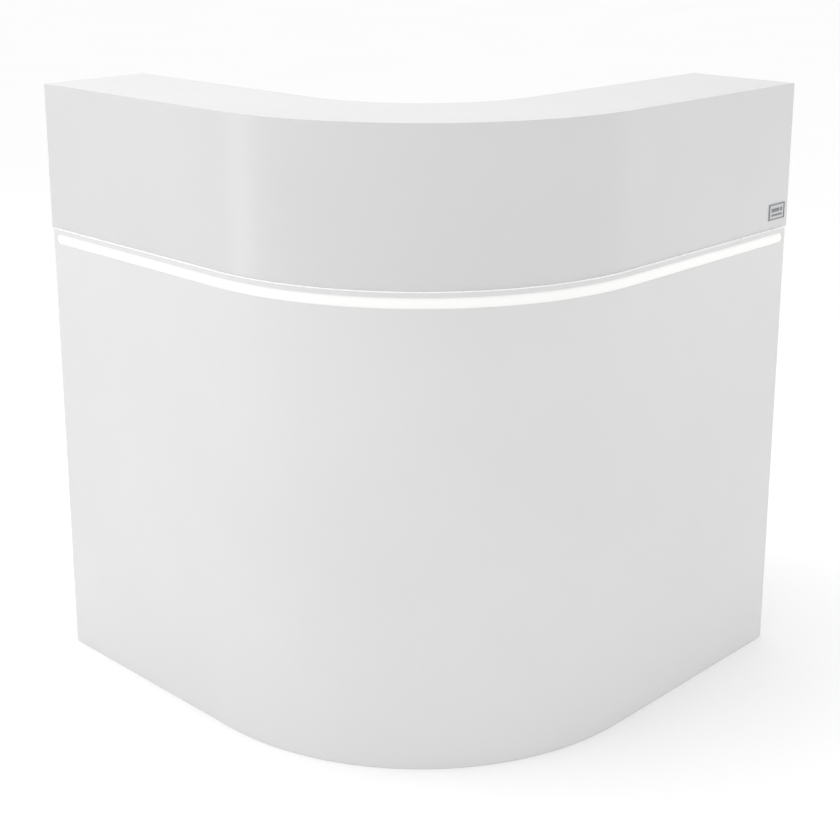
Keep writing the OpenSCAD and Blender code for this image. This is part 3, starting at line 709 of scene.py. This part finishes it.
def make_board_bands():
    """Bands on the inner edges of the worktop, the ledge and the end panels."""
    bm = bmesh.new()
    add_edge_sweep(bm, WORKTOP_DEPTH, *WORKTOP_Z, BODY_HALF)
    add_edge_sweep(bm, LEDGE_DEPTH, LEDGE_LOW.z, COUNTER_H, FRONT_HALF - BAND_T)
    for place in (RIGHT, LEFT):
        add_inner_band(
            bm, place, BAY_HIGH, BODY_LEN, CARCASS_DEPTH, END_PANEL[0].z + BAND_T, WORKTOP_Z[0])
        # The worktop's end, where it stands clear of the end panel
        add_block(
            bm, place, (BODY_LEN, LEDGE_DEPTH - BOARD_T, WORKTOP_Z[0] + BAND_T),
            (BODY_LEN + BAND_T, WORKTOP_DEPTH - BAND_T, WORKTOP_Z[1] - BAND_T))
    add_piece("laminate_bands", bm, "counter", "laminate/edge_band", BAND_EDGE_R)


def make_carcass_bands():
    """Bands on the inner edges of the carcass boards."""
    bm = bmesh.new()
    add_edge_sweep(bm, CARCASS_DEPTH, *BASE_Z, HALF_ARC + BAY_HIGH)
    add_edge_sweep(
        bm, CORNER_SHELF_DEPTH, *CORNER_SHELF_Z, HALF_ARC + BAY_SIDE[0].x - BAND_T)
    for place in (RIGHT, LEFT):
        add_inner_band(
            bm, place, BAY_SIDE[0].x, BAY_LOW, CARCASS_DEPTH, BASE_Z[1], WORKTOP_Z[0])
    for place, (low, high) in ((RIGHT, BAY_SHELF), (LEFT, CUPBOARD_SHELF)):
        add_inner_band(bm, place, low.x, high.x, high.y, low.z + BAND_T, high.z)
    add_piece("carcass_bands", bm, "counter", "carcass_board", BAND_EDGE_R)


# ---- screws, caps and bumpers ----


def add_cross_screw(bm, place, radius, height, reach=0.0):
    """A round screw head with a cross recess on place's xy plane; its shank reaches below."""
    shank = 0.45 * radius
    shoulder = 0.86 * radius
    rim = 0.62 * radius
    outline = [(shank, -reach), (shank, 0)] if reach else []
    outline += [(radius, 0), (radius, 0.45 * height), (shoulder, 0.85 * height), (rim, height)]
    top = add_turned(bm, place, outline, close_last=False)[-1]
    arm = 0.5 * radius
    half = 0.13 * radius
    taper = 0.8
    floor_height = 0.3 * height
    cross = [
        (arm, -half), (arm, half), (half, half), (half, arm), (-half, arm), (-half, half),
        (-arm, half), (-arm, -half), (-half, -half), (-half, -arm), (half, -arm), (half, -half),
    ]
    mouth = [bm.verts.new(place @ Vector((x, y, height))) for x, y in cross]
    floor = [
        bm.verts.new(place @ Vector((taper * x, taper * y, floor_height))) for x, y in cross
    ]
    edges = []
    for loop in (top, mouth):
        for i, vert in enumerate(loop):
            after = loop[(i + 1) % len(loop)]
            edges.append(bm.edges.get((vert, after)) or bm.edges.new((vert, after)))
    bmesh.ops.triangle_fill(bm, use_beauty=True, use_dissolve=False, edges=edges)
    for i in range(len(cross)):
        j = (i + 1) % len(cross)
        bm.faces.new((mouth[i], mouth[j], floor[j], floor[i]))
    bm.faces.new(floor)


BRACKET_T = 2 * MM
BRACKET_HOLE_AT = 17 * MM
BRACKET_SCREW_R = 3.8 * MM
BRACKET_SCREW_H = 2 * MM
BRACKET_SCREW_REACH = 12 * MM
# Depth of each bracket's middle, and the underside that it holds
BRACKET_PLACES = (
    (122 * MM, LEDGE_LOW.z),
    (162 * MM, WORKTOP_Z[0]),
    (372 * MM, WORKTOP_Z[0]),
)


def make_bracket_screws():
    """Cross-recessed screws in the angle brackets, in place of the plain CAD ones."""
    bm = bmesh.new()
    size = (BRACKET_SCREW_R, BRACKET_SCREW_H, BRACKET_SCREW_REACH)
    for place in (RIGHT, LEFT):
        for depth, under in BRACKET_PLACES:
            for face, side in BAY_FACES:
                upward = (face + side * BRACKET_HOLE_AT, depth, under - BRACKET_T)
                sideways = (face + side * BRACKET_T, depth, under - BRACKET_HOLE_AT)
                add_cross_screw(bm, facing(place, upward, (0, 0, -1)), *size)
                add_cross_screw(bm, facing(place, sideways, (side, 0, 0)), *size)
    piece = add_piece("cross_screws", bm, "counter", "zinc_steel")
    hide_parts("bracket_screws")


HINGE_HEIGHTS = (170 * MM, 630 * MM)
HINGE_LEAF_T = 1.5 * MM
# Radius and height of a screw's head
HINGE_SCREW = (3.2 * MM, 0.9 * MM)
HINGE_PLATE_LEN = 46 * MM
HINGE_PLATE_H = 20 * MM
DOOR_LEAF_SCREW_SETBACK = 9 * MM
DOOR_LEAF_SCREW_RISES = (-21 * MM, 0, 21 * MM)
FRAME_LEAF_SCREW_SETBACKS = (10 * MM, 30 * MM)
FRAME_LEAF_SCREW_RISES = (-20 * MM, 20 * MM)


def make_hinge_screws():
    """Screws in the hinges' leaves, and the plates between a frame leaf's outer thirds."""
    door_low, door_high = wing_extent("door_hinge_leaves", LEFT)
    frame_low = wing_extent("frame_hinge_leaves", LEFT)[0]
    outer_face = BODY_LEN + HINGE_LEAF_T
    plate_stop = frame_low.y + HINGE_PLATE_LEN
    on_door = bmesh.new()
    on_frame = bmesh.new()
    for middle in HINGE_HEIGHTS:
        for rise in DOOR_LEAF_SCREW_RISES:
            spot = (door_low.x + DOOR_LEAF_SCREW_SETBACK, door_high.y, middle + rise)
            add_cross_screw(on_door, facing(LEFT, spot, (0, 1, 0)), *HINGE_SCREW)
        for rise in FRAME_LEAF_SCREW_RISES:
            for setback in FRAME_LEAF_SCREW_SETBACKS:
                spot = (outer_face, frame_low.y + setback, middle + rise)
                add_cross_screw(on_frame, facing(LEFT, spot, (1, 0, 0)), *HINGE_SCREW)
        add_block(
            on_frame, LEFT, (BODY_LEN, frame_low.y, middle - HINGE_PLATE_H / 2),
            (outer_face, plate_stop, middle + HINGE_PLATE_H / 2))
    add_piece("door_hinge_screws", on_door, "door", "zinc_steel")
    add_piece("frame_hinge_screws", on_frame, "counter", "zinc_steel")


def add_cap(bm, place, radius, height):
    """A shallow domed cap standing on place's xy plane."""
    outline = [
        (radius, 0), (radius, 0.4 * height), (0.93 * radius, 0.75 * height), (0.6 * radius, height),
    ]
    add_turned(bm, place, outline)


# Radius and height
CAP_SIZE = (6.5 * MM, 1.1 * MM)
CAP_DEPTHS = (60 * MM, 225 * MM, 390 * MM)
LEDGE_CAP_DEPTH = 120 * MM
LEDGE_CAP_Z = 1035 * MM


def make_screw_caps():
    """White caps over the screws at the ends of the shelves, the base and the ledge."""
    bm = bmesh.new()
    base = (BASE_Z[0] + BASE_Z[1]) / 2
    shelf = (BAY_SHELF[0].z + BAY_SHELF[1].z) / 2
    for place, heights in ((RIGHT, (base, shelf)), (LEFT, (base,))):
        for height in heights:
            for depth in CAP_DEPTHS:
                spot = (BODY_LEN, depth, height)
                add_cap(bm, facing(place, spot, (1, 0, 0)), *CAP_SIZE)
        on_ledge_end = (LEDGE_END[1].x, LEDGE_CAP_DEPTH, LEDGE_CAP_Z)
        add_cap(bm, facing(place, on_ledge_end, (1, 0, 0)), *CAP_SIZE)
    add_piece("screw_caps", bm, "counter", "laminate/edge_band")


def make_bumpers():
    """Soft bumpers behind the drawer fronts and the door."""
    gap = UPPER_FRONT[0].y - CARCASS_DEPTH - BAND_T
    height = 0.85 * gap
    radius = 4 * MM
    left = BAY_LOW - BOARD_T / 2
    right = BAY_HIGH + BOARD_T / 2
    # The door closes against one side only, because the other carries its hinges
    for name, place, (low, high), body, sides, inset in (
        ("upper_drawer_bumpers", RIGHT, UPPER_FRONT, "upper_drawer", (left, right), 25 * MM),
        ("lower_drawer_bumpers", RIGHT, LOWER_FRONT, "lower_drawer", (left, right), 25 * MM),
        ("door_bumpers", LEFT, DOOR, "door", (left,), 40 * MM),
    ):
        bm = bmesh.new()
        for x in sides:
            for z in (low.z + inset, high.z - inset):
                add_cap(bm, facing(place, (x, low.y, z), (0, -1, 0)), radius, height)
        add_piece(name, bm, body, "lead_sheath/bumper")


def make_shelf_pin_holes():
    """Rows of holes for the shelf pins on both sides of the cupboard: zinc sleeves round thin black
    discs that are painted shade in place of the bored holes.
    """
    sleeves = bmesh.new()
    hole_shades = bmesh.new()
    pitch = 32 * MM
    row_depths = (70 * MM, 370 * MM)
    pin_r = 2.5 * MM
    bore_r = 2.6 * MM
    sleeve_r = 3.4 * MM
    sleeve_t = 0.3 * MM
    shade_disc_t = 0.1 * MM
    ring = [(sleeve_r, 0), (sleeve_r, sleeve_t), (bore_r, sleeve_t), (bore_r, 0)]
    # A thin black disc at each hole's mouth: painted shade standing in for the bored hole
    shade_disc = [(bore_r, 0), (bore_r, shade_disc_t)]
    pins_height = wing_extent("shelf_pins", LEFT)[0].z + pin_r
    for face, side in BAY_FACES:
        for depth in row_depths:
            # The pins themselves stand at step 0
            for step in (-4, -3, -2, -1, 1, 2, 3, 4):
                spot = (face, depth, pins_height + step * pitch)
                place = facing(LEFT, spot, (side, 0, 0))
                add_turned(sleeves, place, ring)
                add_turned(hole_shades, place, shade_disc)
    add_piece("shelf_pin_sleeves", sleeves, "counter", "zinc_steel")
    add_piece("shelf_pin_hole_shades", hole_shades, "counter", "black_plastic")


# ---- runners ----


# Radius and height of a screw's head
RUNNER_SCREW = (3.4 * MM, 1.3 * MM)
RUNNER_WALL = 1.2 * MM
FIXED_SCREW_DEPTHS = (110 * MM, 205 * MM, 300 * MM, 395 * MM)
MOVING_SCREW_DEPTHS = (125 * MM, 220 * MM, 315 * MM, 410 * MM)


def add_runner_screws(bm, z, direction, depths, from_side):
    """Screws in a pair of runner members; direction is 1 where their heads face the drawer."""
    for face, side in BAY_FACES:
        for depth in depths:
            spot = (face + side * from_side, depth, z)
            add_cross_screw(bm, facing(RIGHT, spot, (side * direction, 0, 0)), *RUNNER_SCREW)


def add_across(bm, face, side, reach, depths, heights):
    """A block on the right wing that lies between two distances from a bay's side."""
    near, far = sorted(face + side * distance for distance in reach)
    low, high = sorted(heights)
    add_block(bm, RIGHT, (near, depths[0], low), (far, depths[1], high))


def add_runner_cages(bm, mid_low, mid_high, z):
    """Ball cages along the middle members' edges, and a stop at their front ends."""
    reach = (4.3 * MM, 11 * MM)
    front = mid_high.y
    cage_depths = (front - 190 * MM, front - 40 * MM)
    cage_insets = (1.3 * MM, 2.3 * MM)
    stop_depths = (front - 5 * MM, front - 0.5 * MM)
    stop_heights = (z - 9 * MM, z + 9 * MM)
    for face, side in BAY_FACES:
        for edge, inward in ((mid_low.z, 1), (mid_high.z, -1)):
            heights = [edge + inward * inset for inset in cage_insets]
            add_across(bm, face, side, reach, cage_depths, heights)
        add_across(bm, face, side, reach, stop_depths, stop_heights)


def make_runner_details():
    """Screws in the fixed and the drawer's runner members, ball cages and end stops."""
    fixed = bmesh.new()
    for drawer in ("upper", "lower"):
        mid_low, mid_high = wing_extent(drawer + "_runner_mids", RIGHT)
        z = (mid_low.z + mid_high.z) / 2
        add_runner_screws(fixed, z, 1, FIXED_SCREW_DEPTHS, RUNNER_WALL)
        moving = bmesh.new()
        box_gap = wing_extent(drawer + "_drawer_box", RIGHT)[0].x - BAY_LOW
        add_runner_screws(moving, z, -1, MOVING_SCREW_DEPTHS, box_gap - RUNNER_WALL)
        add_piece(drawer + "_runner_screws", moving, drawer + "_drawer", "zinc_steel")
        cages = bmesh.new()
        add_runner_cages(cages, mid_low, mid_high, z)
        add_piece(
            drawer + "_runner_cages", cages, drawer + "_runner", "black_plastic",
            edge=0.2 * MM)
    add_piece("fixed_runner_screws", fixed, "counter", "zinc_steel")


# ---- lighting gear and cable ways ----


def add_driver_rib(bm, low, high, z, thickness, proud, inset):
    """A level rib or plate across the driver's face."""
    add_block(
        bm, RIGHT, (low.x - proud, low.y + inset, z), (low.x, high.y - inset, z + thickness))


def make_driver_details():
    """Ribs and a blank plate on the lamp driver."""
    low, high = wing_extent("led_driver", RIGHT)
    ear = 12 * MM
    bottom = low.z + ear
    top = high.z - ear
    rib_count = 9
    rib_pitch = 7 * MM
    first_rib = bottom + 14 * MM
    frame_ribs = (bottom + 88 * MM, top - 12 * MM)
    ribs = bmesh.new()
    for i in range(rib_count):
        z = first_rib + i * rib_pitch
        add_driver_rib(ribs, low, high, z, thickness=3 * MM, proud=1 * MM, inset=5 * MM)
    for z in frame_ribs:
        add_driver_rib(ribs, low, high, z, thickness=2 * MM, proud=1.6 * MM, inset=3 * MM)
    add_piece("driver_ribs", ribs, "counter", "driver_case", edge=0.3 * MM)
    plate = bmesh.new()
    plate_bottom = bottom + 98 * MM
    plate_h = top - 20 * MM - plate_bottom
    add_driver_rib(
        plate, low, high, plate_bottom, thickness=plate_h, proud=0.3 * MM, inset=8 * MM)
    add_piece("driver_plate", plate, "counter", "plate_silver")


def make_power_screws():
    """Screws in the driver's ears and in the corners of the power box."""
    screws = bmesh.new()
    low, high = wing_extent("led_driver", RIGHT)
    ear_t = 3 * MM
    ear_face = BAY_SIDE[0].x - ear_t
    from_end = 6 * MM
    for z in (low.z + from_end, high.z - from_end):
        spot = (ear_face, (low.y + high.y) / 2, z)
        add_cross_screw(
            screws, facing(RIGHT, spot, (-1, 0, 0)), radius=3.6 * MM, height=1.8 * MM)
    low, high = wing_extent("power_box", RIGHT)
    from_side = 5 * MM
    for depth in (low.y + from_side, high.y - from_side):
        for z in (low.z + from_end, high.z - from_end):
            spot = (low.x, depth, z)
            add_cross_screw(
                screws, facing(RIGHT, spot, (-1, 0, 0)), radius=2.6 * MM, height=1.2 * MM)
    add_piece("power_screws", screws, "counter", "zinc_steel")


def make_grommet_brush():
    """Dark bristles that close the grommet cap's cable slot."""
    low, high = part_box("grommet_cap")
    middle_x = (low.x + high.x) / 2
    middle_y = (low.y + high.y) / 2
    root_z = high.z - 2.4 * MM
    tip_z = high.z - 1.8 * MM
    root_aside = 6.0 * MM
    tip_aside = 0.2 * MM
    first_y = middle_y - 10.6 * MM
    count = 22
    pitch = 0.65 * MM
    width = 0.4 * MM
    most_lean = 0.5 * MM
    # Radians between one bristle's lean and the next: not a whole turn, so they lean unevenly
    lean_turn = 7
    rise = Vector((0, 0, 0.5 * MM))
    bm = bmesh.new()
    for i in range(count):
        y = first_y - i * pitch
        lean = most_lean * math.sin(lean_turn * i)
        for side in (-1, 1):
            root = middle_x + side * root_aside
            tip = middle_x + side * tip_aside
            underside = [
                Vector((root, y, root_z)), Vector((root, y - width, root_z)),
                Vector((tip, y - width + lean, tip_z)), Vector((tip, y + lean, tip_z)),
            ]
            upper = [corner + rise for corner in underside]
            add_rings(bm, Matrix.Identity(4), [underside, upper])
    add_piece("grommet_brush", bm, "grommet_lid", "black_plastic")


finish_cad_nodes()
make_diffuser()
make_painted_highlight_strip()
make_floor_seal()
make_plate_details()
make_front_bands()
make_board_bands()
make_carcass_bands()
make_bracket_screws()
make_hinge_screws()
make_screw_caps()
make_bumpers()
make_shelf_pin_holes()
make_runner_details()
make_driver_details()
make_power_screws()
make_grommet_brush()

# ---- floor, lights and camera ----


def make_floor():
    """A plain pale studio floor under the origin."""
    half = 30.0
    mesh = bpy.data.meshes.new("studio_floor")
    corners = [(-half, -half, 0), (half, -half, 0), (half, half, 0), (-half, half, 0)]
    mesh.from_pydata(corners, [], [(0, 1, 2, 3)])
    floor = bpy.data.objects.new("studio_floor", mesh)
    bpy.context.scene.collection.objects.link(floor)
    material, shader = new_material("studio_floor")
    coordinates = object_coordinates(material)
    add_clouds(material, shader, coordinates, 0.8, grey(0.95), grey(0.96))
    shader.inputs["Roughness"].default_value = 0.9
    shader.inputs["Specular IOR Level"].default_value = 0.1
    mesh.materials.append(material)


def area_light(name, position, target, size, power):
    """A soft box of a width and a height at a place, aimed at a point."""
    data = bpy.data.lights.new(name, "AREA")
    data.shape = "RECTANGLE"
    data.size, data.size_y = size
    data.energy = power
    lamp = bpy.data.objects.new(name, data)
    lamp.location = position
    aim = Vector(target) - Vector(position)
    lamp.rotation_euler = aim.to_track_quat("-Z", "Y").to_euler()
    lamp.visible_camera = False
    bpy.context.scene.collection.objects.link(lamp)


def make_world(walls, overhead, horizon):
    """White light from all round, stronger overhead and with a white band at the horizon."""
    overhead_focus = 4.0
    # Sine of the angle above the horizon where the band starts to fade, and where it's gone
    fade_start = 0.13
    fade_stop = 0.22
    world = bpy.data.worlds.new("studio")
    world.use_nodes = True
    tree = world.node_tree
    background = tree.nodes["Background"]
    background.inputs["Color"].default_value = (1, 1, 1, 1)

    def math_node(operation, first, second, third=0.0):
        """The output of a sum on numbers and other nodes' outputs."""
        node = tree.nodes.new("ShaderNodeMath")
        node.operation = operation
        for number, value in enumerate((first, second, third)):
            if isinstance(value, float):
                node.inputs[number].default_value = value
            else:
                tree.links.new(value, node.inputs[number])
        return node.outputs["Value"]

    coordinates = tree.nodes.new("ShaderNodeTexCoord")
    separate = tree.nodes.new("ShaderNodeSeparateXYZ")
    tree.links.new(coordinates.outputs["Generated"], separate.inputs["Vector"])
    above = math_node("MAXIMUM", separate.outputs["Z"], 0.0)
    overhead_share = math_node("POWER", above, overhead_focus)
    level = math_node("MULTIPLY_ADD", overhead_share, overhead, walls)
    band = tree.nodes.new("ShaderNodeMapRange")
    band.interpolation_type = "SMOOTHSTEP"
    band.inputs["From Min"].default_value = fade_start
    band.inputs["From Max"].default_value = fade_stop
    band.inputs["To Min"].default_value = horizon
    band.inputs["To Max"].default_value = 0.0
    tree.links.new(above, band.inputs["Value"])
    total = math_node("ADD", level, band.outputs["Result"])
    tree.links.new(total, background.inputs["Strength"])
    bpy.context.scene.world = world


def make_lights():
    """The white surroundings, a large soft box at the upper left and a card on each side."""
    make_world(walls=0.42, overhead=1.75, horizon=0.90)
    area_light("top_left", (-1.6, -0.4, 3.2), (0, 0, 0.9), size=(2.0, 2.0), power=20.5)
    area_light("left_card", (-2.2, -0.62, 0.62), (0, -0.62, 0.62), size=(0.4, 0.85), power=1.6)
    area_light("right_card", (2.2, 0.2, 0.6), (0, 0.2, 0.6), size=(0.9, 0.85), power=0.9)


def make_camera():
    """A short telephoto a little above the ledge, shifted down as in a product photograph."""
    data = bpy.data.cameras.new("camera")
    data.lens = 67.55
    data.sensor_width = 36.0
    data.shift_y = -0.16
    camera = bpy.data.objects.new("camera", data)
    camera.location = (-0.0443, -2.8750, 1.5133)
    pitch_down = math.radians(14.481)
    yaw_right = math.radians(0.84)
    roll = math.radians(0.066)
    turn = Matrix.Rotation(-yaw_right, 3, "Z") @ Matrix.Rotation(math.pi / 2 - pitch_down, 3, "X")
    camera.rotation_euler = (turn @ Matrix.Rotation(roll, 3, "Z")).to_euler()
    bpy.context.scene.collection.objects.link(camera)
    bpy.context.scene.camera = camera


make_floor()
make_lights()
make_camera()
bpy.context.scene.view_settings.view_transform = "Standard"
